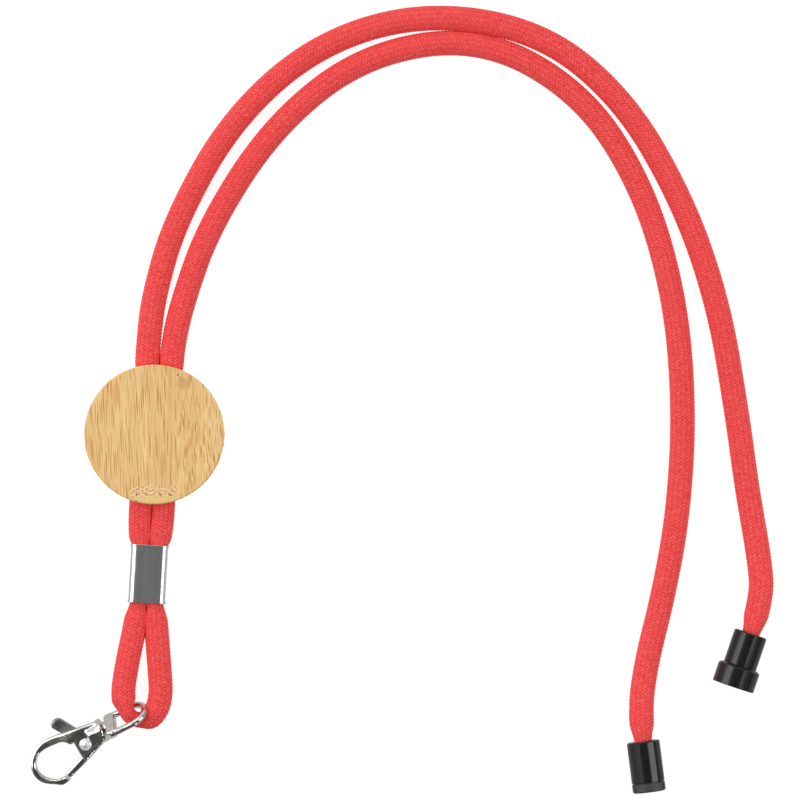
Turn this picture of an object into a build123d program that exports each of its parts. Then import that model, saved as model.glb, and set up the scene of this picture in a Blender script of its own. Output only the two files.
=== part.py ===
from build123d import *

import os
from math import cos, pi, radians, sin, tan

# Lanyard with a sliding bamboo disc, a crimped ferrule, a trigger snap clip and
# a break-away connector, lying flat on a table at z = 0.
# The origin is the centre of the disc's back face. +Y runs along the two
# straight cords, from the clip towards the neck, and +Z is the disc's front.

# ---- disc -----------------------------------------------------------------
DISC_D = 40.0
BACK_T = 1.8
CHANNEL_H = 4.8
FRONT_T = 2.8
CHANNEL_W = 14.4
DISC_CHAMFER = 0.4
CORE_FILLET = 0.5

# ---- cord: an oval braid, laid flat -----------------------------------------
CORD_W = 6.4
CORD_H = 4.2
PINCHED_W = 4.65
NECKED_D = 5.2
PENDANT_X = 0.45
LEG_X = 3.25
PINCHED_X = 2.37
CORD_Z = BACK_T + CHANNEL_H / 2
PINCH_L = 4.5
MOUTH_LOFT = 3.6

# ---- ferrule ----------------------------------------------------------------
FERRULE_Y = -40.1
FERRULE_L = 16.8
FERRULE_W = 10.5
FERRULE_H = 5.4
SHEET_T = 0.45
RIM_L = 0.8
RIM_PROUD = 0.2
RIM_FILLET = 0.18
FERRULE_CORNER_R = 1.7
SEAM_GAP = 0.35

# ---- connector halves --------------------------------------------------------
BARREL_R = 4.83
COLLAR_R = 6.15
COLLAR_L = 5.9
FEMALE_L = 16.1
SOCKET_R = 4.9
SOCKET_L = 5.3
PLUG_R = 4.75
MALE_L = 14.6
BAND_L = 2.7
PLUG_WALL = 1.0
PLUG_POCKET_L = 4.4
PLUG_SLOT_W = 0.45
PLUG_SLOT_DEPTH = 1.5
PLUG_GROOVE = 0.25
SNAP_GROOVE = 0.15
EDGE = 0.35
COLLAR_SLOPE = 0.5
CORD_HOLE_R = 2.65
CORD_HOLE_L = 2.0
CHAMBER_R = 3.35
CHAMBER_L = 5.2
CHAMBER_SLOPE = 0.6
WEDGE_TIP_R = 0.3
WEDGE_BASE_R = 1.7
WEDGE_L = 4.0
WEDGE_DISC_T = 0.9

# ---- clip -------------------------------------------------------------------
CLIP_HEADING = 30.25
CLIP_PITCH = 8.1
CLIP_ORIGIN = (-13.78, -87.7, 4.1)
RING_TILT = 58.9
RING_HALF_W = 4.35
RING_BAR_R = 0.95
RING_BASE_A = 5.5
RING_BASE_L = 3.0
RING_BASE_W = 9.5
RING_BEND_A = 13.6
RING_BASE_T = 2.4
RING_BASE_CORNER_R = 0.9
RING_NECK_R = 2.1
NECK_SUNK = 0.5
COLLAR_GAP = 0.35
STEM_R = 1.5
HEAD_R = 2.25
HEAD_A = 1.0
HEAD_L = 1.3
BARREL_START_A = 0.2
BARREL_END_A = 4.75
CLIP_BARREL_R = 3.3
CLIP_COLLAR_L = 1.2
CLIP_COLLAR_PROUD = 0.2
HEAD_CHAMBER_A = 0.4
HEAD_CHAMBER_L = 2.6
HEAD_ROOM = 0.2
HOOK_REACH = 12.0
HOOK_T = 2.7
CHEEK_T = 5.2
SLOT_T = 2.5
LEVER_T = 2.3
PIVOT = (-1.55, -1.5)
PIVOT_R = 0.85
HUB_R = 2.0
HUB_ROOM = 0.45
SPRING_ROOM_R = 2.1
RIVET_HEAD_R = 1.6
RIVET_HEAD_T = 0.45
RIVET_HEAD_TAPER = 35
WIRE_R = 0.14
COIL_R = 1.3
COIL_PITCH = 0.3
COIL_TURNS = 2.25
COIL_LOW = 0.36
LEG_OUT = 1.9
LEG_IN = 0.9
RUNNING = 0.06

# The cords' routes: points that the smooth cord turns towards, from the disc
# out to the connectors and, for the pendant loop, round the clip's ring.
OUTER_ROUTE = [
    (-2.8, 0, 4.2), (-2.8, 30, 4.2), (1.2, 61, 2.2), (16.5, 92, 2.2), (40, 115, 2.2),
    (70.5, 125.5, 2.2), (104, 122, 2.2), (129, 104, 2.2), (147.5, 76, 2.2), (159.5, 47, 2.2),
    (166.6, 16, 2.2), (170.8, -6, 2.2), (175.4, -25.5, 3.2), (176.9, -37.2, 6.2), (174.1, -47.3, 6.2),
]
INNER_ROUTE = [
    (3.7, 0, 4.2), (3.7, 30, 4.2), (12.2, 61, 2.2), (29, 91, 2.2), (54, 112.5, 2.2),
    (87, 119.5, 2.2), (117, 105, 2.2), (136, 79, 2.2), (147, 48, 2.2), (151.5, 16, 2.2),
    (151.5, -14, 2.2), (148.5, -38, 2.2), (144.6, -58, 2.2), (143.6, -72.5, 4.78), (145, -80, 4.78),
]
LOOP_ROUTE = [
    (-1.92, -49, 4.2), (-2.4, -55, 4.3), (-4.6, -65, 4.9), (-6, -75.9, 5.7),
    (-2.4, -82.5, 5.7), (4.7, -83.2, 5.2), (7.3, -76.9, 4.9), (5.3, -65, 4.6),
    (3.6, -55, 4.3), (2.82, -49, 4.2),
]

Z = Vector(0, 0, 1)


def corner_radii(route):
    """The largest arc each corner has room for: 0.45 of its shorter run."""
    points = [Vector(*p) for p in route]
    radii = []
    for before, corner, after in zip(points, points[1:], points[2:]):
        shorter = min((corner - before).length, (after - corner).length)
        turn = (corner - before).get_angle(after - corner)
        radii.append(0.45 * shorter / tan(radians(turn / 2)))
    return radii


def square_to(origin, direction):
    """A plane square to a cord, its x axis level."""
    return Plane(origin=origin, x_dir=direction.cross(Z), z_dir=direction)


def oval(plane, width, height=CORD_H):
    """A cord's section."""
    with BuildSketch(plane) as section:
        Ellipse(width / 2, height / 2)
    return section.sketch


def report_cord(name, route, path, solid, section_area):
    radii = corner_radii(route)
    print(f"{name}: length {path.length:.1f} mm, radii", [round(r, 1) for r in radii])
    print(f"  volume {solid.volume:.0f}, section x length {section_area * path.length:.0f}")


# ---- bamboo disc -------------------------------------------------------------
CHANNEL_TOP = BACK_T + CHANNEL_H
DISC_T = CHANNEL_TOP + FRONT_T

with BuildPart() as disc_back:
    with BuildSketch():
        Circle(DISC_D / 2)
    extrude(amount=BACK_T)
    chamfer(disc_back.edges().group_by(Axis.Z)[0], DISC_CHAMFER)
disc_back.part.label = "disc_back"

with BuildPart() as disc_front:
    with BuildSketch(Plane.XY.offset(CHANNEL_TOP)):
        Circle(DISC_D / 2)
    extrude(amount=FRONT_T)
    chamfer(disc_front.edges().group_by(Axis.Z)[-1], DISC_CHAMFER)
disc_front.part.label = "disc_front"

disc_cores = []
for side, label in ((-1, "disc_core_left"), (1, "disc_core_right")):
    inner_x = PENDANT_X + side * CHANNEL_W / 2
    with BuildPart() as disc_core:
        with BuildSketch(Plane.XY.offset(BACK_T)):
            Circle(DISC_D / 2)
            with Locations((inner_x - side * DISC_D, 0)):
                Rectangle(2 * DISC_D, 2 * DISC_D, mode=Mode.SUBTRACT)
        extrude(amount=CHANNEL_H)
        fillet(disc_core.edges().filter_by(Axis.Z), CORE_FILLET)
    disc_core.part.label = label
    disc_cores.append(disc_core.part)

# ---- ferrule: sheet folded round both cords, its seam underneath ----------------
FERRULE_PLANE = Plane(
    origin=(PENDANT_X, FERRULE_Y + FERRULE_L / 2, CORD_Z), x_dir=(1, 0, 0), z_dir=(0, -1, 0)
)

with BuildPart() as ferrule:
    with BuildSketch(FERRULE_PLANE):
        RectangleRounded(FERRULE_W, FERRULE_H, FERRULE_CORNER_R)
    extrude(amount=FERRULE_L)
    for end in (0, FERRULE_L - RIM_L):
        with BuildSketch(FERRULE_PLANE.offset(end)):
            RectangleRounded(
                FERRULE_W + 2 * RIM_PROUD, FERRULE_H + 2 * RIM_PROUD, FERRULE_CORNER_R + RIM_PROUD
            )
        extrude(amount=RIM_L)
    rims = ferrule.faces().filter_by(Axis.Y).sort_by(Axis.Y)
    fillet(rims[0].edges() + rims[-1].edges(), RIM_FILLET)
    with BuildSketch(FERRULE_PLANE):
        RectangleRounded(
            FERRULE_W - 2 * SHEET_T, FERRULE_H - 2 * SHEET_T, FERRULE_CORNER_R - SHEET_T
        )
    extrude(amount=FERRULE_L, mode=Mode.SUBTRACT)
    with BuildSketch(FERRULE_PLANE):
        with Locations((0, -FERRULE_H / 2)):
            Rectangle(SEAM_GAP, FERRULE_H / 2)
    extrude(amount=FERRULE_L, mode=Mode.SUBTRACT)
ferrule.part.label = "ferrule"


# ---- connector halves: turned profiles, from the cord's mouth to the free end -----
def connector_axis(route):
    """The mouth and direction of a connector: it carries on from its cord."""
    before, mouth = Vector(*route[-2]), Vector(*route[-1])
    return mouth, (mouth - before).normalized()


def profile(mouth, direction, outline):
    """A half section of a turned piece: points of (distance from the mouth, radius)."""
    with BuildSketch(Plane(origin=mouth, x_dir=direction, z_dir=direction.cross(Z))) as section:
        with BuildLine():
            Polyline(*outline, close=True)
        make_face()
    return section.sketch


female_mouth, female_dir = connector_axis(OUTER_ROUTE)
male_mouth, male_dir = connector_axis(INNER_ROUTE)
CHAMBER_END = CORD_HOLE_L + CHAMBER_L
COLLAR_X = FEMALE_L - COLLAR_L
# the ring groove in the socket that the plug's band snaps into
SNAP_X = FEMALE_L - SOCKET_L + BAND_L / 2
# the groove round the plug, where its band begins
BAND_X = MALE_L - BAND_L
POCKET_X = MALE_L - PLUG_POCKET_L

with BuildPart() as female_connector:
    half = profile(
        female_mouth, female_dir,
        [
            (0, CORD_HOLE_R + EDGE), (0, BARREL_R - EDGE), (EDGE, BARREL_R),
            (COLLAR_X - COLLAR_SLOPE, BARREL_R), (COLLAR_X, COLLAR_R - EDGE), (COLLAR_X + EDGE, COLLAR_R),
            (FEMALE_L - EDGE / 2, COLLAR_R), (FEMALE_L, COLLAR_R - EDGE / 2), (FEMALE_L, SOCKET_R + EDGE),
            (FEMALE_L - EDGE, SOCKET_R), (SNAP_X + 2 * SNAP_GROOVE, SOCKET_R),
            (SNAP_X + SNAP_GROOVE, SOCKET_R + SNAP_GROOVE),
            (SNAP_X - SNAP_GROOVE, SOCKET_R + SNAP_GROOVE), (SNAP_X - 2 * SNAP_GROOVE, SOCKET_R),
            (FEMALE_L - SOCKET_L, SOCKET_R), (FEMALE_L - SOCKET_L, CHAMBER_R),
            (CORD_HOLE_L + CHAMBER_SLOPE, CHAMBER_R), (CORD_HOLE_L, CORD_HOLE_R), (EDGE, CORD_HOLE_R),
        ],
    )
    revolve(half, axis=Axis(female_mouth, female_dir))
female_connector.part.label = "female_connector"

with BuildPart() as male_connector:
    half = profile(
        male_mouth, male_dir,
        [
            (0, CORD_HOLE_R + EDGE), (0, PLUG_R - EDGE), (EDGE, PLUG_R),
            (BAND_X - PLUG_GROOVE, PLUG_R), (BAND_X - PLUG_GROOVE / 2, PLUG_R - PLUG_GROOVE),
            (BAND_X + PLUG_GROOVE / 2, PLUG_R - PLUG_GROOVE), (BAND_X + PLUG_GROOVE, PLUG_R),
            (MALE_L - EDGE, PLUG_R), (MALE_L, PLUG_R - EDGE), (MALE_L, PLUG_R - PLUG_WALL),
            (POCKET_X, PLUG_R - PLUG_WALL), (POCKET_X, CHAMBER_R),
            (CORD_HOLE_L + CHAMBER_SLOPE, CHAMBER_R), (CORD_HOLE_L, CORD_HOLE_R), (EDGE, CORD_HOLE_R),
        ],
    )
    revolve(half, axis=Axis(male_mouth, male_dir))
    with BuildSketch(square_to(male_mouth + male_dir * (BAND_X + 2 * PLUG_GROOVE), male_dir)):
        with PolarLocations(PLUG_R, 3, start_angle=90):
            Rectangle(2 * PLUG_SLOT_DEPTH, PLUG_SLOT_W)
    extrude(amount=BAND_L, mode=Mode.SUBTRACT)
male_connector.part.label = "male_connector"


def cord_wedge(mouth, direction, label):
    """A cone driven into the cord's end, with a disc that closes the chamber."""
    tip = CHAMBER_END - WEDGE_L
    with BuildPart() as wedge:
        half = profile(
            mouth, direction,
            [
                (tip, 0), (tip, WEDGE_TIP_R), (CHAMBER_END - WEDGE_DISC_T, WEDGE_BASE_R),
                (CHAMBER_END - WEDGE_DISC_T, CHAMBER_R - RUNNING), (CHAMBER_END, CHAMBER_R - RUNNING),
                (CHAMBER_END, 0),
            ],
        )
        revolve(half, axis=Axis(mouth, direction))
    wedge.part.label = label
    return wedge.part


female_cord_wedge = cord_wedge(female_mouth, female_dir, "female_cord_wedge")
male_cord_wedge = cord_wedge(male_mouth, male_dir, "male_cord_wedge")


# ---- cords --------------------------------------------------------------------
def neck_cord(route, wedge, label):
    """An oval tube from inside the disc, necked to round where it enters its connector."""
    mouth, direction = connector_axis(route)
    loft_start = mouth - direction * MOUTH_LOFT
    points = [Vector(*p) for p in route[:-1]] + [loft_start]
    with BuildLine() as route_line:
        FilletPolyline(*points, radius=corner_radii(route))
    path = route_line.wire()
    with BuildPart() as cord:
        sweep(oval(square_to(path @ 0, path % 0), CORD_W), path=path)
        loft([
            oval(square_to(loft_start, direction), CORD_W),
            oval(square_to(mouth, direction), NECKED_D, NECKED_D),
        ])
        half = profile(
            mouth, direction,
            [
                (0, 0), (0, NECKED_D / 2), (CORD_HOLE_L + 0.2, NECKED_D / 2),
                (CORD_HOLE_L + 1.0, CHAMBER_R - RUNNING),
                (CHAMBER_END - WEDGE_DISC_T, CHAMBER_R - RUNNING), (CHAMBER_END - WEDGE_DISC_T, 0),
            ],
        )
        revolve(half, axis=Axis(mouth, direction))
        add(wedge, mode=Mode.SUBTRACT)
    cord.part.label = label
    return cord.part, path


neck_cord_outer, outer_path = neck_cord(OUTER_ROUTE, female_cord_wedge, "neck_cord_outer")
neck_cord_inner, inner_path = neck_cord(INNER_ROUTE, male_cord_wedge, "neck_cord_inner")

FERRULE_TOP = FERRULE_Y + FERRULE_L / 2

with BuildLine() as loop_line:
    FilletPolyline(*LOOP_ROUTE, radius=corner_radii(LOOP_ROUTE))
loop_path = loop_line.wire()
DOWN = Vector(0, -1, 0)

with BuildPart() as pendant_cord:
    sweep(oval(square_to(loop_path @ 0, loop_path % 0), PINCHED_W), path=loop_path)
    for side in (-1, 1):
        leg = Vector(PENDANT_X + side * LEG_X, 0, CORD_Z)
        swell = Vector(leg.X, FERRULE_TOP + PINCH_L, CORD_Z)
        pinched = Vector(PENDANT_X + side * PINCHED_X, FERRULE_TOP + 0.2, CORD_Z)
        extrude(oval(square_to(leg, DOWN), CORD_W), amount=-swell.Y)
        loft([oval(square_to(swell, DOWN), CORD_W), oval(square_to(pinched, DOWN), PINCHED_W)])
        extrude(oval(square_to(pinched, DOWN), PINCHED_W), amount=pinched.Y - LOOP_ROUTE[0][1])
pendant_cord.part.label = "pendant_cord"

# ---- clip ---------------------------------------------------------------------
clip_axis = Vector(1, 0, 0).rotate(Axis.Y, -CLIP_PITCH).rotate(Axis.Z, CLIP_HEADING)
clip_normal = Z.rotate(Axis.Y, -CLIP_PITCH).rotate(Axis.Z, CLIP_HEADING)
clip_side = clip_normal.cross(clip_axis)
# x runs along the swivel axis towards the ring, y across the hook.
clip_plane = Plane(origin=CLIP_ORIGIN, x_dir=clip_axis, z_dir=clip_normal)
ring_normal = -clip_normal * cos(radians(RING_TILT)) - clip_side * sin(radians(RING_TILT))
ring_plane = Plane(origin=CLIP_ORIGIN, x_dir=clip_axis, z_dir=ring_normal)
# y of this plane points up out of the hook: a side view of the clip.
side_plane = Plane(origin=CLIP_ORIGIN, x_dir=clip_axis, z_dir=-clip_side)


def across(distance):
    """A plane square to the swivel axis."""
    return Plane(
        origin=Vector(*CLIP_ORIGIN) + clip_axis * distance, x_dir=clip_side, z_dir=clip_axis
    )


with BuildPart() as swivel_ring:
    with BuildLine(ring_plane) as ring_line:
        bar = Line((RING_BASE_A + RING_BAR_R, RING_HALF_W), (RING_BEND_A, RING_HALF_W))
        JernArc(bar @ 1, bar % 1, RING_HALF_W, -180)
        Line((RING_BEND_A, -RING_HALF_W), (RING_BASE_A + RING_BAR_R, -RING_HALF_W))
    with BuildSketch(Plane(origin=ring_line.line @ 0, z_dir=ring_line.line % 0)):
        Circle(RING_BAR_R)
    sweep(path=ring_line.line)
    with BuildSketch(ring_plane):
        with Locations((RING_BASE_A + RING_BASE_L / 2, 0)):
            RectangleRounded(RING_BASE_L, RING_BASE_W, RING_BASE_CORNER_R)
    extrude(amount=RING_BASE_T / 2, both=True)
    with BuildSketch(across(HEAD_A)):
        Circle(HEAD_R)
    extrude(amount=HEAD_L)
    with BuildSketch(across(HEAD_A)):
        Circle(STEM_R)
    extrude(amount=RING_BASE_A + NECK_SUNK - HEAD_A)
    with BuildSketch(across(BARREL_END_A + COLLAR_GAP)):
        Circle(RING_NECK_R)
    extrude(amount=RING_BASE_A + NECK_SUNK - BARREL_END_A - COLLAR_GAP)
swivel_ring.part.label = "swivel_ring"

with BuildPart() as hook_body:
    with BuildSketch(clip_plane):
        with BuildLine():
            top = Line((BARREL_END_A - 1.0, 3.0), (-8.6, 4.7))
            back = Spline(
                top @ 1, (-13.4, 4.7), (-17.7, 2.0), (-19.4, -1.9), (-17.8, -6.0), (-14.4, -8.2),
                (-10.4, -8.5), tangents=[top % 1, (1, 0.3)],
            )
            nose = ThreePointArc((-10.4, -8.5), (-10.95, -7.75), (-11.3, -6.95))
            eye = Spline(
                nose @ 1, (-14.1, -6.75), (-16.9, -4.6), (-17.95, -1.6), (-16.2, 1.6), (-12.6, 2.6),
                (-9.2, 2.45), (-6.8, 1.8), (-5.1, 0.3), (-4.2, -3.6), tangents=[(-1, -0.1), (0.05, -1)],
            )
            Polyline(eye @ 1, (-3.8, -5.9), (BARREL_END_A - 1.0, -3.1), top @ 0)
        make_face()
    extrude(amount=CHEEK_T, both=True)
    with BuildSketch(side_plane):
        Polygon(
            (-20, -HOOK_T / 2), (-11.5, -HOOK_T / 2), (-6, -CHEEK_T / 2), (6, -CHEEK_T / 2),
            (6, CHEEK_T / 2), (-6, CHEEK_T / 2), (-11.5, HOOK_T / 2), (-20, HOOK_T / 2),
            align=None,
        )
    extrude(amount=HOOK_REACH, both=True, mode=Mode.INTERSECT)
    with BuildSketch(across(BARREL_START_A)):
        Circle(CLIP_BARREL_R)
    extrude(amount=BARREL_END_A - BARREL_START_A)
    with BuildSketch(across(BARREL_END_A - CLIP_COLLAR_L)):
        Circle(CLIP_BARREL_R + CLIP_COLLAR_PROUD)
    extrude(amount=CLIP_COLLAR_L)
    # slot for the lever, open to the eye, the lower edge and the spine
    with BuildSketch(clip_plane.offset(-SLOT_T / 2)):
        with Locations(PIVOT):
            Circle(HUB_R + HUB_ROOM)
        Polygon((-2.0, -1), (-9.0, 1.2), (-8.2, 7), (2.2, 7), (0.6, -1), align=None)
        Polygon((0.2, -1), (-9.0, 1.2), (-9.0, -8), (-1.5, -8), align=None)
    extrude(amount=SLOT_T, mode=Mode.SUBTRACT)
    with BuildSketch(across(HEAD_CHAMBER_A)):
        Circle(HEAD_R + HEAD_ROOM)
    extrude(amount=HEAD_CHAMBER_L, mode=Mode.SUBTRACT)
    with BuildSketch(across(HEAD_CHAMBER_A)):
        Circle(STEM_R + RUNNING)
    extrude(amount=BARREL_END_A, mode=Mode.SUBTRACT)
    with BuildSketch(clip_plane):
        with Locations(PIVOT):
            Circle(PIVOT_R)
    extrude(amount=CHEEK_T, both=True, mode=Mode.SUBTRACT)
hook_body.part.label = "hook_body"

with BuildPart() as trigger_lever:
    with BuildSketch(clip_plane.offset(-LEVER_T / 2)):
        with Locations(PIVOT):
            Circle(HUB_R)
        with BuildLine():
            Line((-3.3, -3.6), (-10.9, -6.45))
            ThreePointArc((-10.9, -6.45), (-10.6, -7.35), (-10.1, -8.05))
            Line((-10.1, -8.05), (-3.2, -5.75))
            Polyline((-3.2, -5.75), (-1.6, -3.4), (-3.3, -3.6))
        make_face()
        with BuildLine():
            Line((-3.2, -0.4), (-8.4, 7.0))
            ThreePointArc((-8.4, 7.0), (-7.2, 8.9), (-5.1, 8.2))
            Line((-5.1, 8.2), (-0.2, 0.2))
            Line((-0.2, 0.2), (-3.2, -0.4))
        make_face()
    extrude(amount=LEVER_T)
    # the hub is half as thick, to make room for the spring
    with BuildSketch(clip_plane):
        with Locations(PIVOT):
            Circle(SPRING_ROOM_R)
    extrude(amount=LEVER_T, mode=Mode.SUBTRACT)
    with BuildSketch(clip_plane):
        with Locations(PIVOT):
            Circle(PIVOT_R + RUNNING)
    extrude(amount=LEVER_T, both=True, mode=Mode.SUBTRACT)
trigger_lever.part.label = "trigger_lever"

with BuildPart() as trigger_spring:
    with BuildLine(clip_plane) as coil_line:
        coil = Helix(COIL_PITCH, COIL_TURNS * COIL_PITCH, COIL_R, center=(*PIVOT, COIL_LOW))
    start = Plane(origin=coil @ 0, z_dir=coil % 0)
    end = Plane(origin=coil @ 1, z_dir=coil % 1)
    with BuildSketch(start):
        Circle(WIRE_R)
    sweep(path=coil, is_frenet=True)
    for tip, reach in ((start, -LEG_OUT), (end, LEG_IN)):
        with BuildSketch(tip):
            Circle(WIRE_R)
        extrude(amount=reach)
trigger_spring.part.label = "trigger_spring"

with BuildPart() as pivot_rivet:
    with BuildSketch(clip_plane.offset(-CHEEK_T / 2)):
        with Locations(PIVOT):
            Circle(PIVOT_R)
    extrude(amount=CHEEK_T)
    for face_height, way in ((CHEEK_T / 2, 1), (-CHEEK_T / 2, -1)):
        with BuildSketch(clip_plane.offset(face_height)):
            with Locations(PIVOT):
                Circle(RIVET_HEAD_R)
        extrude(amount=RIVET_HEAD_T * way, taper=RIVET_HEAD_TAPER)
pivot_rivet.part.label = "pivot_rivet"

PIECES = [
    disc_back.part, disc_front.part, *disc_cores, ferrule.part,
    female_connector.part, male_connector.part, female_cord_wedge, male_cord_wedge,
    neck_cord_outer, neck_cord_inner, pendant_cord.part,
    swivel_ring.part, hook_body.part, trigger_lever.part, trigger_spring.part, pivot_rivet.part,
]
os.makedirs("parts", exist_ok=True)
for piece in PIECES:
    export_step(piece, f"parts/{piece.label}.step")

OVAL = pi / 4 * CORD_W * CORD_H
report_cord("neck_cord_outer", OUTER_ROUTE, outer_path, neck_cord_outer, OVAL)
report_cord("neck_cord_inner", INNER_ROUTE, inner_path, neck_cord_inner, OVAL)
report_cord("pendant loop", LOOP_ROUTE, loop_path, pendant_cord.part, OVAL)
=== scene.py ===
import math

import bpy
import numpy as np
from mathutils import Matrix, Vector


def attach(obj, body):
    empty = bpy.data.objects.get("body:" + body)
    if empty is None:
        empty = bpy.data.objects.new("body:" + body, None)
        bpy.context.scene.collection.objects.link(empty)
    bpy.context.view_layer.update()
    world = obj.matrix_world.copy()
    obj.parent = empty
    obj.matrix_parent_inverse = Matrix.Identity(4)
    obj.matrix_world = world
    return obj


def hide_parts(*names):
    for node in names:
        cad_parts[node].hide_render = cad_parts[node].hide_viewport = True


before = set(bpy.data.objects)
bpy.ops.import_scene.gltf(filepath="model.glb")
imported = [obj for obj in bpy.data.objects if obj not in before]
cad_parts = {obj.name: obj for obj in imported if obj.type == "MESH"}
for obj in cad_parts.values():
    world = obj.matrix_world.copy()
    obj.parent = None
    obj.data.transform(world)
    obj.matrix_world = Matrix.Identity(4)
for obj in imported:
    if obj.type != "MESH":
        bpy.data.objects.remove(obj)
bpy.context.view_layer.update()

# Sizes are in millimetres times MM, in the frame's axes: the origin is the
# centre of the disc's back face, +Y runs from the clip towards the neck.
MM = 0.001
TILT = math.radians(3.25)  # the turn of the camera about Z, which the bamboo's strips follow

# ---- cords: routes and braid -----------------------------------------------------
# Each route is a list of points that the cord's smooth line turns towards. They
# follow the part's routes, a little higher where the cord is free, because the
# braid is thicker than the part's cord, and with more points near the disc.
OUTER_ROUTE = [
    (-2.8, 0, 4.2), (-3.2, 16, 4.2), (-3.3, 26, 4.2), (-2.5, 40, 3.6), (2.5, 62, 2.8),
    (17.2, 92, 2.8), (40.4, 114.8, 2.8), (70.5, 125.5, 2.8), (104, 122, 2.8), (129, 104, 2.8),
    (147.5, 76, 2.8), (159.5, 47, 2.8), (166.6, 16, 2.8), (170.8, -6, 2.8), (175.4, -25.5, 3.5),
    (176.9, -37.2, 6.2), (173.57, -49.2, 6.2),
]
INNER_ROUTE = [
    (3.7, 0, 4.2), (3.7, 16, 4.2), (3.75, 25, 4.2), (5.6, 37.5, 3.6), (12.3, 61, 2.8),
    (29.3, 90.8, 2.8), (54, 112.5, 2.8), (87, 119.5, 2.8), (117, 105, 2.8), (136, 79, 2.8),
    (147, 48, 2.8), (151.5, 16, 2.8), (151.5, -14, 2.8), (148.5, -38, 2.8), (144.6, -58, 2.8),
    (143.6, -72.5, 4.7), (145.4, -82, 4.78),
]
PENDANT_ROUTE = [
    (-2.8, 0, 4.2), (-2.8, -18, 4.2), (-2.8, -26, 4.2), (-1.92, -33, 4.2), (-1.92, -41, 4.2),
    (-1.92, -49, 4.2), (-2.4, -55, 4.3), (-4.0, -65, 4.9), (-5.1, -75.9, 5.7), (-2.4, -82.2, 5.7),
    (3.6, -81.8, 5.2), (6.4, -76.0, 4.9), (5.0, -65, 4.6), (3.6, -55, 4.3), (2.82, -49, 4.2),
    (2.82, -41, 4.2), (2.82, -33, 4.2), (3.7, -26, 4.2), (3.7, -18, 4.2), (3.7, 0, 4.2),
]
STRANDS = 14  # of each hand
PICK = 1.0 * MM  # along the cord, from a strand to the next of the same hand
STEPS = 3  # of the mesh, across a strand
AROUND = 2 * STRANDS * STEPS
PER_ROW = AROUND // 2
RELIEF = 0.2 * MM  # how far the gaps lie below the strands
HAND_SHIFT = 71  # sets the two hands' yarn coordinates apart
MOUTH_R = 2.58 * MM  # the cord's radius in a connector's mouth
RING_BEARING = Vector((-1.64, -80.62, 6.1)) * MM  # where the clip's ring presses on the loop

# ---- connector and clip: places ---------------------------------------------------
PLUG_MOUTH = Vector((145, -80, 4.78)) * MM
PLUG_AXIS = Vector((1.4, -7.5, 0)).normalized()
DULL_FROM = 11.9 * MM  # from the plug's mouth, where its gloss ends

# The clip's own frame: A along its swivel axis, N out of its flat side.
CLIP_HEADING = math.radians(30.25)
CLIP_PITCH = math.radians(8.1)
CLIP_TURN = Matrix.Rotation(CLIP_HEADING, 3, "Z") @ Matrix.Rotation(-CLIP_PITCH, 3, "Y")
CLIP_ORIGIN = Vector((-13.78, -87.7, 4.1)) * MM
CLIP_A = CLIP_TURN @ Vector((1, 0, 0))
CLIP_N = CLIP_TURN @ Vector((0, 0, 1))
CLIP_B = CLIP_N.cross(CLIP_A)
PIVOT_A, PIVOT_B = -1.55 * MM, -1.5 * MM
PIVOT = CLIP_ORIGIN + CLIP_A * PIVOT_A + CLIP_B * PIVOT_B
TAB_FROM, TAB_TO = 4.5 * MM, 5.5 * MM  # from the pivot along B, where the rough tab with its painted dark reflection begins
VOXEL = 0.13 * MM  # of the castings' rounded copies

# Half of the rivet, as (height over its middle, radius) in millimetres: the shank,
# the rolled edge, the dished ring inside it and the domed centre.
RIVET_HALF = [
    (2.52, 0.86), (2.54, 1.70), (2.72, 1.78), (2.90, 1.72), (2.98, 1.55), (2.94, 1.36),
    (2.80, 1.24), (2.74, 1.12), (2.82, 1.0), (2.96, 0.8), (3.04, 0.55), (3.08, 0.28), (3.09, 0.02),
]

# ---- bamboo: places in millimetres, x and y across and up the face ------------------
GLUE_LEFT, GLUE_RIGHT = -7.1, 6.7  # where the three strips meet
BAND_TOP, BAND_FULL = -14.2, -15.4  # the node's band begins, and is at its strongest
FOOT_TOP, FOOT_FULL = -17.2, -17.9  # the same of the plain wood below the band
STRIP_SHIFT = 7.3  # sets the strips' noise apart
PORE = (0.07, 0.05, 0.015)
SPOTS = [  # x, y, radius, strength and colour
    (-5.0, -17.2, 0.34, 0.9, PORE), (-2.2, -17.1, 0.42, 0.75, (0.36, 0.17, 0.06)),
    (1.9, -17.2, 0.36, 0.9, PORE), (4.5, -17.3, 0.42, 0.95, PORE), (-5.1, -19.1, 0.34, 0.8, PORE),
    (6.9, 17.0, 0.36, 0.9, (0.22, 0.10, 0.03)), (8.1, 14.6, 2.2, 0.55, (0.62, 0.30, 0.12)),
    (7.6, 16.0, 0.9, 0.45, (0.60, 0.28, 0.10)),
]

# ---- stage ---------------------------------------------------------------------------
VIEW_MIDDLE = Vector((69.8, 13.85, 0)) * MM
VIEW_WIDTH = 230.2 * MM
CAMERA_HEIGHT = 2.0
SENSOR = 36  # in millimetres, as Blender wants it
FLOOR_REACH = 3
LIGHTS = [  # name, place from the view's middle, width and depth, all in metres, and watts
    ("strip_left", (-1.3, 0, 1.05), (0.7, 1.3), 11.6),
    ("strip_right", (1.3, 0, 1.05), (0.7, 1.3), 12.8),
    ("key", (-0.75, 1.15, 1.2), (0.9, 0.9), 4.2),
    ("fill", (0.75, -1.15, 1.2), (0.35, 0.35), 3.0),
]
KEY_SIDE = (-0.55, 0.83, 0)  # the way to the key light, on the level


# ---- geometry helpers -------------------------------------------------------
def add_object(name, data):
    """A new object in the scene."""
    new = bpy.data.objects.new(name, data)
    bpy.context.scene.collection.objects.link(new)
    return new


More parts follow.
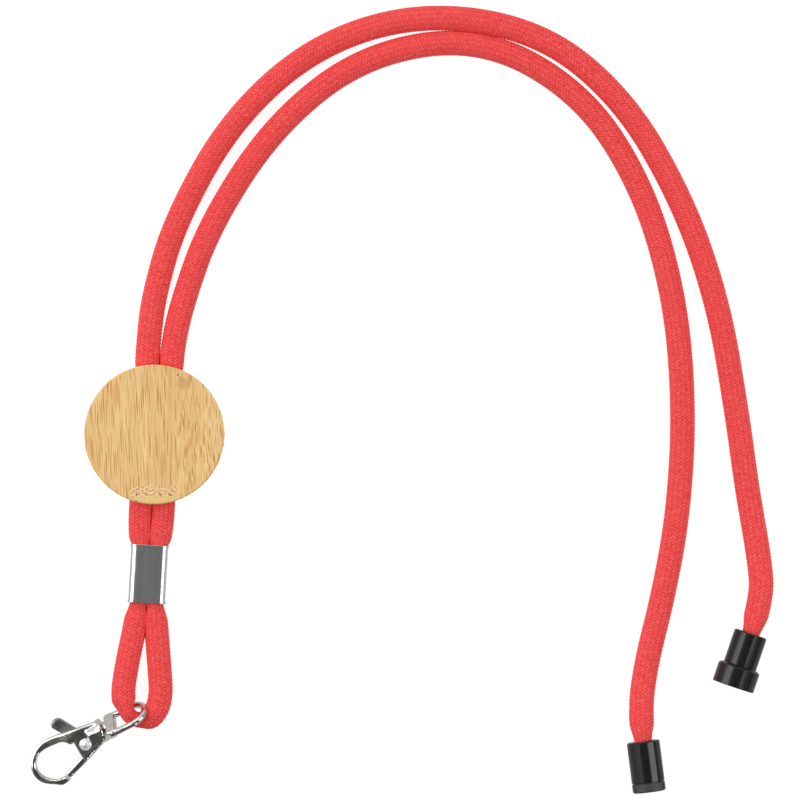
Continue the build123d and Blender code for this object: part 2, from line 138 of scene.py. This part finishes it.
def add_mesh(name, points, faces, smooth=True):
    """A mesh object from its points and faces."""
    mesh = bpy.data.meshes.new(name)
    mesh.from_pydata([tuple(p) for p in points], [], [tuple(f) for f in faces])
    mesh.polygons.foreach_set("use_smooth", [smooth] * len(mesh.polygons))
    mesh.update()
    return add_object(name, mesh)


def rounded(node, voxel, passes, swell):
    """A copy of a piece with its edges rounded, as a polished die casting's are.

    swell makes up for what the smoothing takes off.
    """
    piece = add_object(node.name + "_rounded", node.data.copy())
    piece.matrix_world = node.matrix_world
    remesh = piece.modifiers.new("remesh", "REMESH")
    remesh.mode = "VOXEL"
    remesh.voxel_size = voxel
    smooth = piece.modifiers.new("smooth", "SMOOTH")
    smooth.factor = 0.5
    smooth.iterations = passes
    push = piece.modifiers.new("push", "DISPLACE")
    push.mid_level = 0
    push.strength = swell
    bpy.context.view_layer.update()
    graph = bpy.context.evaluated_depsgraph_get()
    mesh = bpy.data.meshes.new_from_object(piece.evaluated_get(graph))
    mesh.materials.clear()
    mesh.polygons.foreach_set("use_smooth", [True] * len(mesh.polygons))
    piece.modifiers.clear()
    piece.data = mesh
    return piece


def turned(name, origin, axis, outline, sides=64):
    """A turned piece: outline is a list of (height along the axis, radius), closed at both ends."""
    across = axis.orthogonal().normalized()
    other = axis.cross(across)
    points = [
        origin + axis * height
        + (across * math.cos(turn) + other * math.sin(turn)) * radius
        for height, radius in outline
        for turn in (2 * math.pi * side / sides for side in range(sides))
    ]
    faces = [
        (ring * sides + side, ring * sides + (side + 1) % sides,
         (ring + 1) * sides + (side + 1) % sides, (ring + 1) * sides + side)
        for ring in range(len(outline) - 1)
        for side in range(sides)
    ]
    caps = [range(sides)[::-1], range((len(outline) - 1) * sides, len(outline) * sides)]
    return add_mesh(name, points, [*faces, *caps])


def smooth_line(route):
    """The points of the smooth line that a route stands for, in metres."""
    curve = bpy.data.curves.new("route", "CURVE")
    curve.dimensions = "3D"
    curve.resolution_u = 24
    spline = curve.splines.new("NURBS")
    spline.points.add(len(route) - 1)
    for point, (x, y, z) in zip(spline.points, route):
        point.co = (x * MM, y * MM, z * MM, 1)
    spline.order_u = 3
    spline.use_endpoint_u = True
    holder = bpy.data.objects.new("route", curve)
    mesh = bpy.data.meshes.new_from_object(holder)
    line = np.array([v.co for v in mesh.vertices], float)
    bpy.data.meshes.remove(mesh)
    bpy.data.curves.remove(curve)
    return line


def along_line(line):
    """Distance along a line at each of its points."""
    return np.concatenate([[0], np.cumsum(np.linalg.norm(np.diff(line, axis=0), axis=1))])


def place_on(line, along, at):
    """The places at these distances along a line."""
    return np.stack([np.interp(at, along, line[:, k]) for k in range(3)], axis=1)


def frames_on(line, along, at):
    """Places, and level and upright directions square to a line, at distances along it."""
    reach = 1.2 * MM
    forward = place_on(line, along, at + reach) - place_on(line, along, at - reach)
    forward /= np.linalg.norm(forward, axis=1)[:, None]
    level = np.cross(forward, (0, 0, 1))
    level /= np.linalg.norm(level, axis=1)[:, None]
    return place_on(line, along, at), level, np.cross(level, forward)


def rise(x, low, high):
    """0 below low, 1 above high, with a smooth rise between them."""
    t = np.clip((x - low) / (high - low), 0, 1)
    return t * t * (3 - 2 * t)


def between(start, end, share):
    """start at share 0, end at share 1."""
    return start + (end - start) * share


# ---- braid --------------------------------------------------------------------
def weave(a, b):
    """How high the surface stands at a place in the weave, 0 to 1, and whether hand a is on top."""
    cell_a, cell_b = np.floor(a), np.floor(b)
    turn = np.mod(cell_a + cell_b, 4)
    a_on_top = turn < 2
    across = np.where(a_on_top, a - cell_a, b - cell_b)
    lengthwise = np.where(a_on_top, (b - cell_b + turn) / 2, (a - cell_a + turn - 2) / 2)
    height = np.sin(math.pi * across) * np.sin(math.pi * lengthwise)
    return np.sqrt(np.clip(height, 0, 1)), a_on_top


def braid(name, route, section):
    """A tubular braid, two strands over and two under, as a closed mesh along a route.

    Strands of one hand run along lines of equal a = (k + m) / 2, those of the other
    hand along lines of equal b = (k - m) / 2, both counted in STEPS: k goes round the
    cord and m along it. The mesh's points lie where such lines cross.
    section(places, at, length) gives half the width and half the height at each place.
    """
    line = smooth_line(route)
    along = along_line(line)
    length = along[-1]
    rows = 2 * round(length / PICK * STEPS)
    m = np.arange(rows + 1)[:, None]
    k = 2 * np.arange(PER_ROW)[None, :] + m % 2
    at = m[:, 0] / rows * length
    places, level, upright = frames_on(line, along, at)
    half_w, half_h = section(places, at, length)

    dome, _ = weave((k + m) / 2 / STEPS, (k - m) / 2 / STEPS)
    angle = 2 * math.pi * k / AROUND
    sink = RELIEF * (1 - dome)
    out = (half_w[:, None] - sink) * np.cos(angle)
    up = (half_h[:, None] - sink) * np.sin(angle)
    points = places[:, None] + out[..., None] * level[:, None] + up[..., None] * upright[:, None]

    faces, row, col = braid_faces(rows)
    piece = add_mesh(name, points.reshape(-1, 3), faces)
    add_yarn(piece.data, dome, row, col)
    return piece, line, length


def braid_faces(rows):
    """The faces of a braid's mesh, and the row and column in the middle of each quad.

    The quads come first, then a row of triangles at each end and the two caps.
    """
    row, number = np.meshgrid(np.arange(1, rows), np.arange(PER_ROW), indexing="ij")
    col = 2 * number + 1 - row % 2

    def index(r, c):
        return r * PER_ROW + (c % AROUND) // 2

    quads = np.stack(
        [index(row + 1, col), index(row, col + 1), index(row - 1, col), index(row, col - 1)], axis=-1
    ).reshape(-1, 4)
    odd = 2 * np.arange(PER_ROW) + 1
    start = [(index(0, c - 1), index(1, c), index(0, c + 1)) for c in odd]
    end = [(index(rows, c - 1), index(rows, c + 1), index(rows - 1, c)) for c in odd]
    caps = [tuple(range(PER_ROW)), tuple(range(rows * PER_ROW, (rows + 1) * PER_ROW))[::-1]]
    return [*quads.tolist(), *start, *end, *caps], row, col


def add_yarn(mesh, dome, row, col):
    """Gives a braid's mesh its relief, and coordinates across and along the strand on top."""
    relief = mesh.attributes.new("relief", "FLOAT", "POINT")
    relief.data.foreach_set("value", dome.astype(np.float32).ravel())
    corner_k = np.stack([col, col + 1, col, col - 1], axis=-1).reshape(-1, 4)
    corner_m = np.stack([row + 1, row, row - 1, row], axis=-1).reshape(-1, 4)
    a, b = (corner_k + corner_m) / 2 / STEPS, (corner_k - corner_m) / 2 / STEPS
    mid_a = ((col + row) / 2 / STEPS).reshape(-1, 1)
    mid_b = ((col - row) / 2 / STEPS).reshape(-1, 1)
    _, a_on_top = weave(mid_a, mid_b)
    yarn = np.stack([np.where(a_on_top, a, b + HAND_SHIFT), np.where(a_on_top, b, a)], axis=-1)
    uv = np.zeros((len(mesh.loops), 2), np.float32)
    uv[: yarn.size // 2] = yarn.reshape(-1, 2)
    mesh.uv_layers.new(name="yarn").data.foreach_set("uv", uv.ravel())


def neck_section(places, at, length):
    """Half the width and half the height: squeezed in the disc, round in the connector's mouth."""
    out_of_disc = rise(at, 17 * MM, 21 * MM)
    free = rise(at, 24 * MM, 34 * MM)
    necked = rise(at, length - 8 * MM, length - 1.6 * MM)
    half_w = (3.3 + 0.28 * out_of_disc + 0.04 * free) * MM
    half_h = (2.3 + 0.38 * free) * MM
    return between(half_w, MOUTH_R, necked), between(half_h, MOUTH_R, necked)


def pendant_section(places, at, length):
    """Half the width and half the height: pinched in the ferrule and where the ring bears."""
    y = places[:, 1]
    above_ferrule = rise(y, -33 * MM, -29 * MM)
    below_ferrule = rise(-y, 48.2 * MM, 54 * MM)
    off_ring = rise(np.linalg.norm(places - np.array(RING_BEARING), axis=1), 2.2 * MM, 5.2 * MM)
    half_w = (2.46 + 0.94 * above_ferrule + 1.07 * below_ferrule) * MM
    half_h = (2.12 + 0.18 * above_ferrule + 0.45 * below_ferrule) * MM
    return between(half_w, 2.32 * MM, 1 - off_ring), between(half_h, 2.1 * MM, 1 - off_ring)


# ---- materials ------------------------------------------------------------------
class Nodes:
    """A node tree that is filled one line at a time, for a material or the world."""

    def __init__(self, owner, surface):
        owner.use_nodes = True
        self.owner = owner
        self.tree = owner.node_tree
        self.surface = self.tree.nodes[surface]

    def set(self, **sockets):
        """Sets or links the surface's sockets, named with _ for a space."""
        self.fill(self.surface, sockets)

    def fill(self, node, sockets):
        """Sets or links a node's sockets, given by name or number. A plain colour is (r, g, b)."""
        for key, value in sockets.items():
            socket = node.inputs[key.replace("_", " ")] if isinstance(key, str) else node.inputs[key]
            if isinstance(value, bpy.types.NodeSocket):
                self.tree.links.new(value, socket)
            elif socket.type == "RGBA":
                socket.default_value = (*value, 1)
            else:
                socket.default_value = value

    def node(self, kind, settings=None, **sockets):
        """A new node, with its settings and its sockets."""
        node = self.tree.nodes.new("ShaderNode" + kind)
        for key, value in (settings or {}).items():
            setattr(node, key, value)
        self.fill(node, sockets)
        return node

    def place(self):
        """The place on the piece in the frame at rest, in metres."""
        return self.node("TexCoord").outputs["Object"]

    def scaled(self, vector, scale):
        """A vector scaled by a factor along each axis."""
        return self.node("Mapping", Vector=vector, Scale=scale).outputs["Vector"]

    def math(self, operation, *values):
        """One Math node's value."""
        node = self.node("Math", {"operation": operation})
        self.fill(node, dict(enumerate(values)))
        return node.outputs[0]

    def vector(self, operation, first, second):
        """One Vector Math node's value or vector."""
        node = self.node("VectorMath", {"operation": operation})
        self.fill(node, {0: first, 1: second})
        return node.outputs["Value" if operation in ("DISTANCE", "DOT_PRODUCT") else "Vector"]

    def colors(self, factor, *stops):
        """A colour ramp: stops are (position, (r, g, b))."""
        node = self.node("ValToRGB", Fac=factor)
        ramp = node.color_ramp
        while len(ramp.elements) < len(stops):
            ramp.elements.new(0.5)
        for element, (position, color) in zip(ramp.elements, stops):
            element.position = position
            element.color = (*color, 1)
        return node.outputs["Color"]

    def grays(self, factor, *stops):
        """A ramp of greys: stops are (position, brightness)."""
        return self.colors(factor, *((position, (value,) * 3) for position, value in stops))

    def ramp(self, value, low, high):
        """0 at low and 1 at high, smooth between them."""
        node = self.node(
            "MapRange", {"interpolation_type": "SMOOTHSTEP"}, Value=value, From_Min=low, From_Max=high
        )
        return node.outputs["Result"]

    def blend(self, kind, factor, first, second):
        """Two colours blended."""
        node = self.node("Mix", {"data_type": "RGBA", "blend_type": kind})
        self.fill(node, {0: factor, 6: first, 7: second})
        return node.outputs[2]

    def noise(self, vector, scale, detail=2):
        """Noise at a place, about 0 to 1."""
        node = self.node("TexNoise", Vector=vector, Scale=scale, Detail=detail, Roughness=0.5)
        return node.outputs["Fac"]

    def bump(self, height, strength, distance, bevel=None):
        """A bumped normal, on edges softened over a bevel's radius."""
        node = self.node("Bump", Height=height, Strength=strength, Distance=distance)
        if bevel:
            soft = self.node("Bevel", {"samples": 8}, Radius=bevel)
            self.fill(node, {"Normal": soft.outputs["Normal"]})
        return node.outputs["Normal"]


def new_material(name):
    """An empty material's nodes."""
    return Nodes(bpy.data.materials.new(name), "Principled BSDF")


def braid_material():
    """Red polyester yarn: filaments along each strand, with painted shade in the gaps between strands.
    """
    s = new_material("red_braid")
    yarn = s.node("UVMap", {"uv_map": "yarn"}).outputs["UV"]
    relief = s.node("Attribute", {"attribute_name": "relief"}).outputs["Fac"]
    filament = s.noise(s.scaled(yarn, (9, 0.9, 1)), 1.6, detail=3)
    strand = s.noise(s.scaled(yarn, (1, 0.5, 1)), 0.9)
    fleck = s.noise(s.place(), 1500, detail=1)
    tone = s.math("ADD", s.math("MULTIPLY", filament, 0.45), s.math("MULTIPLY", strand, 0.35))
    tone = s.math("ADD", tone, s.math("MULTIPLY", fleck, 0.2))
    lit = s.colors(
        tone, (0.36, (0.74, 0.030, 0.038)), (0.46, (0.94, 0.072, 0.070)),
        (0.55, (0.98, 0.098, 0.094)), (0.66, (1.0, 0.20, 0.185)),
    )
    # painted shade: the yarn's colour is darkened where the relief is low, in the gaps between strands
    gap_painted_shade = s.colors(relief, (0.0, (0.55, 0.0, 0.02)), (0.45, (1.0, 1.0, 1.0)))
    s.set(
        Base_Color=s.blend("MULTIPLY", 0.5, lit, gap_painted_shade), Roughness=0.72, Specular_IOR_Level=0.3,
        Sheen_Weight=0.1, Sheen_Roughness=0.5, Sheen_Tint=(1.0, 0.3, 0.25),
        Normal=s.bump(filament, 0.5, 0.12 * MM),
    )
    return s.owner


def bamboo_material():
    """Three laminated bamboo strips, their fibres nearly upright, with a node near the lower edge."""
    s = new_material("bamboo")
    upright = s.node("Mapping", Vector=s.place(), Rotation=(0, 0, -TILT), Scale=(1 / MM,) * 3)
    split = s.node("SeparateXYZ", Vector=upright.outputs["Vector"])
    x, y = split.outputs["X"], split.outputs["Y"]
    flat = s.node("CombineXYZ", X=x, Y=y).outputs["Vector"]
    past_left = s.math("GREATER_THAN", x, GLUE_LEFT)
    past_right = s.math("GREATER_THAN", x, GLUE_RIGHT)
    middle_strip = s.math("SUBTRACT", past_left, past_right)

    color, streaks, fine = bamboo_fibres(s, flat, x, y, past_left, past_right)

    # The node: a mottled band with a ragged upper edge, and plain wood at its foot.
    ragged = s.math("MULTIPLY_ADD", s.noise(flat, 1.3), 4.0, s.math("SUBTRACT", y, 2.0))
    band = s.math("MULTIPLY", s.ramp(ragged, BAND_TOP, BAND_FULL), middle_strip)
    mottle = s.noise(flat, 1.7, detail=3)
    arcs = s.colors(
        mottle, (0.42, (0.62, 0.29, 0.10)), (0.5, (0.88, 0.58, 0.29)), (0.58, (0.95, 0.71, 0.41))
    )
    color = s.blend("MIX", s.math("MULTIPLY", band, 0.8), color, arcs)
    foot = s.math("MULTIPLY", s.ramp(ragged, FOOT_TOP, FOOT_FULL), middle_strip)
    color = s.blend("MIX", s.math("MULTIPLY", foot, 0.75), color, (0.90, 0.68, 0.27))
    foot_fibres = s.math("MULTIPLY", fine, s.math("MULTIPLY", foot, 0.3))
    color = s.blend("MIX", foot_fibres, color, (0.5, 0.3, 0.08))

    for spot_x, spot_y, radius, strength, tint in SPOTS:
        near = s.vector("DISTANCE", flat, (spot_x, spot_y, 0))
        near = s.math("MULTIPLY_ADD", s.math("SUBTRACT", mottle, 0.5), radius, near)
        mask = s.math("MULTIPLY", s.ramp(near, radius, 0.5 * radius), strength)
        color = s.blend("MIX", mask, color, tint)
    s.set(
        Base_Color=color, Roughness=0.55, Specular_IOR_Level=0.3,
        Normal=s.bump(streaks, 0.1, -0.04 * MM),
    )
    return s.owner


def bamboo_fibres(s, flat, x, y, past_left, past_right):
    """The wood's colour, its dark vascular bundles and its fine fibres, which lean and wander."""
    strip = s.math("MULTIPLY", s.math("ADD", past_left, past_right), STRIP_SHIFT)
    wobble = s.math("MULTIPLY", s.noise(flat, 0.08, detail=0), 0.4)
    across = s.math("ADD", s.math("MULTIPLY_ADD", y, 0.045, x), wobble)
    down = s.math("MULTIPLY", y, s.math("MULTIPLY_ADD", past_right, 1.1, 1.0))

    def fibres(width, reach, shift):
        vector = s.node(
            "CombineXYZ", X=s.math("DIVIDE", across, width), Y=s.math("DIVIDE", down, reach),
            Z=s.math("ADD", strip, shift),
        )
        return s.noise(vector.outputs["Vector"], 1.0, detail=1)

    broad = fibres(3.2, 30, 0)
    fine = fibres(0.16, 10, 3.1)
    cells = s.node(
        "CombineXYZ", X=s.math("ADD", s.math("DIVIDE", across, 0.46), strip),
        Y=s.math("DIVIDE", down, 13),
    )
    bundles = s.node(
        "TexVoronoi", {"voronoi_dimensions": "2D"}, Scale=1.0, Vector=cells.outputs["Vector"]
    )
    strength = s.node("SeparateColor", Color=bundles.outputs["Color"]).outputs["Red"]
    streaks = s.math("MULTIPLY", s.ramp(bundles.outputs["Distance"], 0.34, 0.24), strength)
    color = s.colors(
        broad, (0.3, (0.84, 0.545, 0.225)), (0.5, (0.87, 0.585, 0.255)), (0.7, (0.90, 0.625, 0.29))
    )
    color = s.blend("MIX", streaks, color, (0.58, 0.22, 0.035))
    shade = s.colors(
        fine, (0.32, (0.80, 0.70, 0.56)), (0.48, (0.98, 0.97, 0.95)), (0.62, (1.05, 1.06, 1.08))
    )
    return s.blend("MULTIPLY", 0.7, color, shade), streaks, fine


def plated_material(name, color, roughness, waves, tab=False):
    """Bright plating with a slightly uneven polish; the lever's thumb tab is left rough, and its darker
    tone is a painted dark reflection.
    """
    s = new_material(name)
    place = s.place()
    height = s.math("MULTIPLY", s.noise(place, 900), waves)
    height = s.math("MULTIPLY_ADD", s.noise(place, 230, detail=0), 20 * waves, height)
    dirt = s.noise(place, 260, detail=3)
    rough = s.math("MULTIPLY_ADD", dirt, 0.12, roughness - 0.06)
    tone = s.colors(dirt, (0.3, tuple(0.86 * c for c in color)), (0.6, color))
    if tab:
        reach = s.vector("DOT_PRODUCT", s.vector("SUBTRACT", place, PIVOT), CLIP_B)
        rough_tab_painted_dark = s.ramp(reach, TAB_FROM, TAB_TO)
        height = s.math(
            "MULTIPLY_ADD", s.noise(place, 3200, detail=3), s.math("MULTIPLY", rough_tab_painted_dark, 1.6), height
        )
        rough = s.math("MULTIPLY_ADD", rough_tab_painted_dark, 0.12, rough)
        # painted dark reflection: the thumb tab's colour is darkened
        tone = s.blend("MULTIPLY", s.math("MULTIPLY", rough_tab_painted_dark, 0.9), tone, (0.26, 0.27, 0.26))
    s.set(
        Base_Color=tone, Metallic=1.0, Roughness=rough,
        Normal=s.bump(height, 0.6, 0.08 * MM, bevel=0.8 * MM),
    )
    return s.owner


def drawn_material(name, color, roughness):
    """Plated sheet with faint drawing marks along Y."""
    s = new_material(name)
    marks = s.noise(s.scaled(s.place(), (1, 0.01, 1)), 700)
    tone = s.colors(marks, (0.3, tuple(0.85 * c for c in color)), (0.7, color))
    s.set(Base_Color=tone, Metallic=1.0, Roughness=roughness, Normal=s.bump(marks, 0.12, 0.02 * MM))
    return s.owner


def moulded_material(name, dull_past=None):
    """Gloss black plastic. dull_past is a start, an axis and a reach along it, past which it is dull."""
    s = new_material(name)
    place = s.place()
    grain = s.noise(place, 1500, detail=3)
    rough = s.math("MULTIPLY_ADD", grain, 0.16, 0.10)
    color = (0.012, 0.012, 0.013)
    if dull_past:
        start, axis, reach = dull_past
        along = s.vector("DOT_PRODUCT", s.vector("SUBTRACT", place, start), axis)
        dull = s.ramp(along, reach, reach + 0.1 * MM)
        rough = s.math("MULTIPLY_ADD", dull, 0.3, rough)
        color = s.blend("MIX", dull, color, (0.05, 0.05, 0.052))
    s.set(
        Base_Color=color, Roughness=rough, Specular_IOR_Level=0.32,
        Normal=s.bump(grain, 0.25, 0.02 * MM),
    )
    return s.owner


def plain_material(name, color, metallic, roughness):
    """One colour and finish, for pieces that are hidden or as thin as wire."""
    s = new_material(name)
    s.set(Base_Color=color, Metallic=metallic, Roughness=roughness)
    return s.owner


# ---- stage ------------------------------------------------------------------------
def add_floor():
    """A pale floor that glows, so that it is evenly white, and is darker in reflections."""
    reach = FLOOR_REACH
    corners = [(-reach, -reach, 0), (reach, -reach, 0), (reach, reach, 0), (-reach, reach, 0)]
    floor = add_mesh("floor", corners, [(0, 1, 2, 3)], smooth=False)
    s = new_material("floor_white")
    reflected = s.node("LightPath").outputs["Is Glossy Ray"]
    s.set(
        Base_Color=(0.15, 0.15, 0.15), Roughness=1.0, Specular_IOR_Level=0.0,
        Emission_Color=(1, 1, 1), Emission_Strength=s.math("MULTIPLY_ADD", reflected, -0.45, 0.93),
    )
    floor.data.materials.append(s.owner)


def add_light(name, offset, size, power):
    """A rectangular area light that looks at the view's middle."""
    light = bpy.data.lights.new(name, "AREA")
    light.shape = "RECTANGLE"
    light.size, light.size_y = size
    light.energy = power
    holder = add_object(name, light)
    holder.location = VIEW_MIDDLE + Vector(offset)
    holder.rotation_euler = (VIEW_MIDDLE - holder.location).to_track_quat("-Z", "Y").to_euler()


def add_world():
    """A soft grey room, brightest a little above the horizon on the key light's side."""
    world = bpy.data.worlds.new("studio")
    bpy.context.scene.world = world
    s = Nodes(world, "Background")
    toward = s.node("TexCoord").outputs["Generated"]
    height = s.node("SeparateXYZ", Vector=toward).outputs["Z"]
    heights = s.grays(
        height, (0.0, 0.55), (0.2, 0.7), (0.35, 0.95), (0.6, 0.85), (0.84, 0.5), (1.0, 0.25)
    )
    side = s.math("MULTIPLY_ADD", s.vector("DOT_PRODUCT", toward, KEY_SIDE), 0.5, 0.5)
    sides = s.grays(side, (0.0, 0.08), (0.5, 0.2), (0.7, 1.0), (1.0, 1.0))
    s.set(Color=s.blend("MULTIPLY", 1.0, heights, sides))


def add_camera():
    """A camera straight above, which takes in the width of the photograph."""
    data = bpy.data.cameras.new("camera")
    data.sensor_width = SENSOR
    data.lens = SENSOR * CAMERA_HEIGHT / VIEW_WIDTH
    data.clip_end = 20
    camera = add_object("camera", data)
    camera.location = VIEW_MIDDLE + Vector((0, 0, CAMERA_HEIGHT))
    camera.rotation_euler = (0, 0, TILT)
    bpy.context.scene.camera = camera
    bpy.context.scene.view_settings.view_transform = "Standard"


add_floor()
for light in LIGHTS:
    add_light(*light)
add_world()
add_camera()


# ---- cords --------------------------------------------------------------------------
def stand_in(piece, node, body, material):
    """Shows a piece in place of a CAD node, on a body, with a material."""
    piece.data.materials.append(material)
    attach(piece, body)
    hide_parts(node)


red = braid_material()
for node, route, connector, wedge in (
    ("neck_cord_outer", OUTER_ROUTE, "female_connector", "female_cord_wedge"),
    ("neck_cord_inner", INNER_ROUTE, "male_connector", "male_cord_wedge"),
):
    piece, line, length = braid(node + "_braid", route, neck_section)
    stand_in(piece, node, "lanyard", red)

piece, line, length = braid("pendant_cord_braid", PENDANT_ROUTE, pendant_section)
stand_in(piece, "pendant_cord", "lanyard", red)

# ---- clip: rounded castings and a turned rivet ----------------------------------------
NICKEL = (0.74, 0.73, 0.70)
casting = plated_material("clip_plating", NICKEL, 0.13, 0.28)
lever_plating = plated_material("lever_plating", NICKEL, 0.13, 0.28, tab=True)
for node, body, material, passes, swell in (
    ("hook_body", "hook", casting, 30, 0.05 * MM),
    ("swivel_ring", "ring", casting, 12, 0.02 * MM),
    ("trigger_lever", "trigger", lever_plating, 20, 0.03 * MM),
):
    piece = rounded(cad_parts[node], VOXEL, passes, swell)
    stand_in(piece, node, body, material)

outline = [(-h * MM, r * MM) for h, r in RIVET_HALF[::-1]] + [(h * MM, r * MM) for h, r in RIVET_HALF]
rivet_plating = plated_material("rivet_plating", (0.95, 0.94, 0.92), 0.48, 0.02)
stand_in(
    turned("pivot_rivet_turned", PIVOT, CLIP_N, outline), "pivot_rivet", "hook",
    rivet_plating,
)

# ---- the other pieces keep their shape ------------------------------------------------
bamboo = bamboo_material()
wedge_plastic = plain_material("wedge_plastic", (0.03, 0.03, 0.03), 0.0, 0.5)
LOOKS = {
    "disc_front": bamboo,
    "disc_back": bamboo,
    "disc_core_left": bamboo,
    "disc_core_right": bamboo,
    "ferrule": drawn_material("ferrule_plating", (0.74, 0.75, 0.75), 0.3),
    "female_connector": moulded_material("socket_plastic"),
    "male_connector": moulded_material("plug_plastic", (PLUG_MOUTH, PLUG_AXIS, DULL_FROM)),
    "female_cord_wedge": wedge_plastic,
    "male_cord_wedge": wedge_plastic,
    "trigger_spring": plain_material("spring_wire", (0.6, 0.6, 0.6), 1.0, 0.3),
}
for node, material in LOOKS.items():
    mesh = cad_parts[node].data
    mesh.materials.clear()
    mesh.materials.append(material)
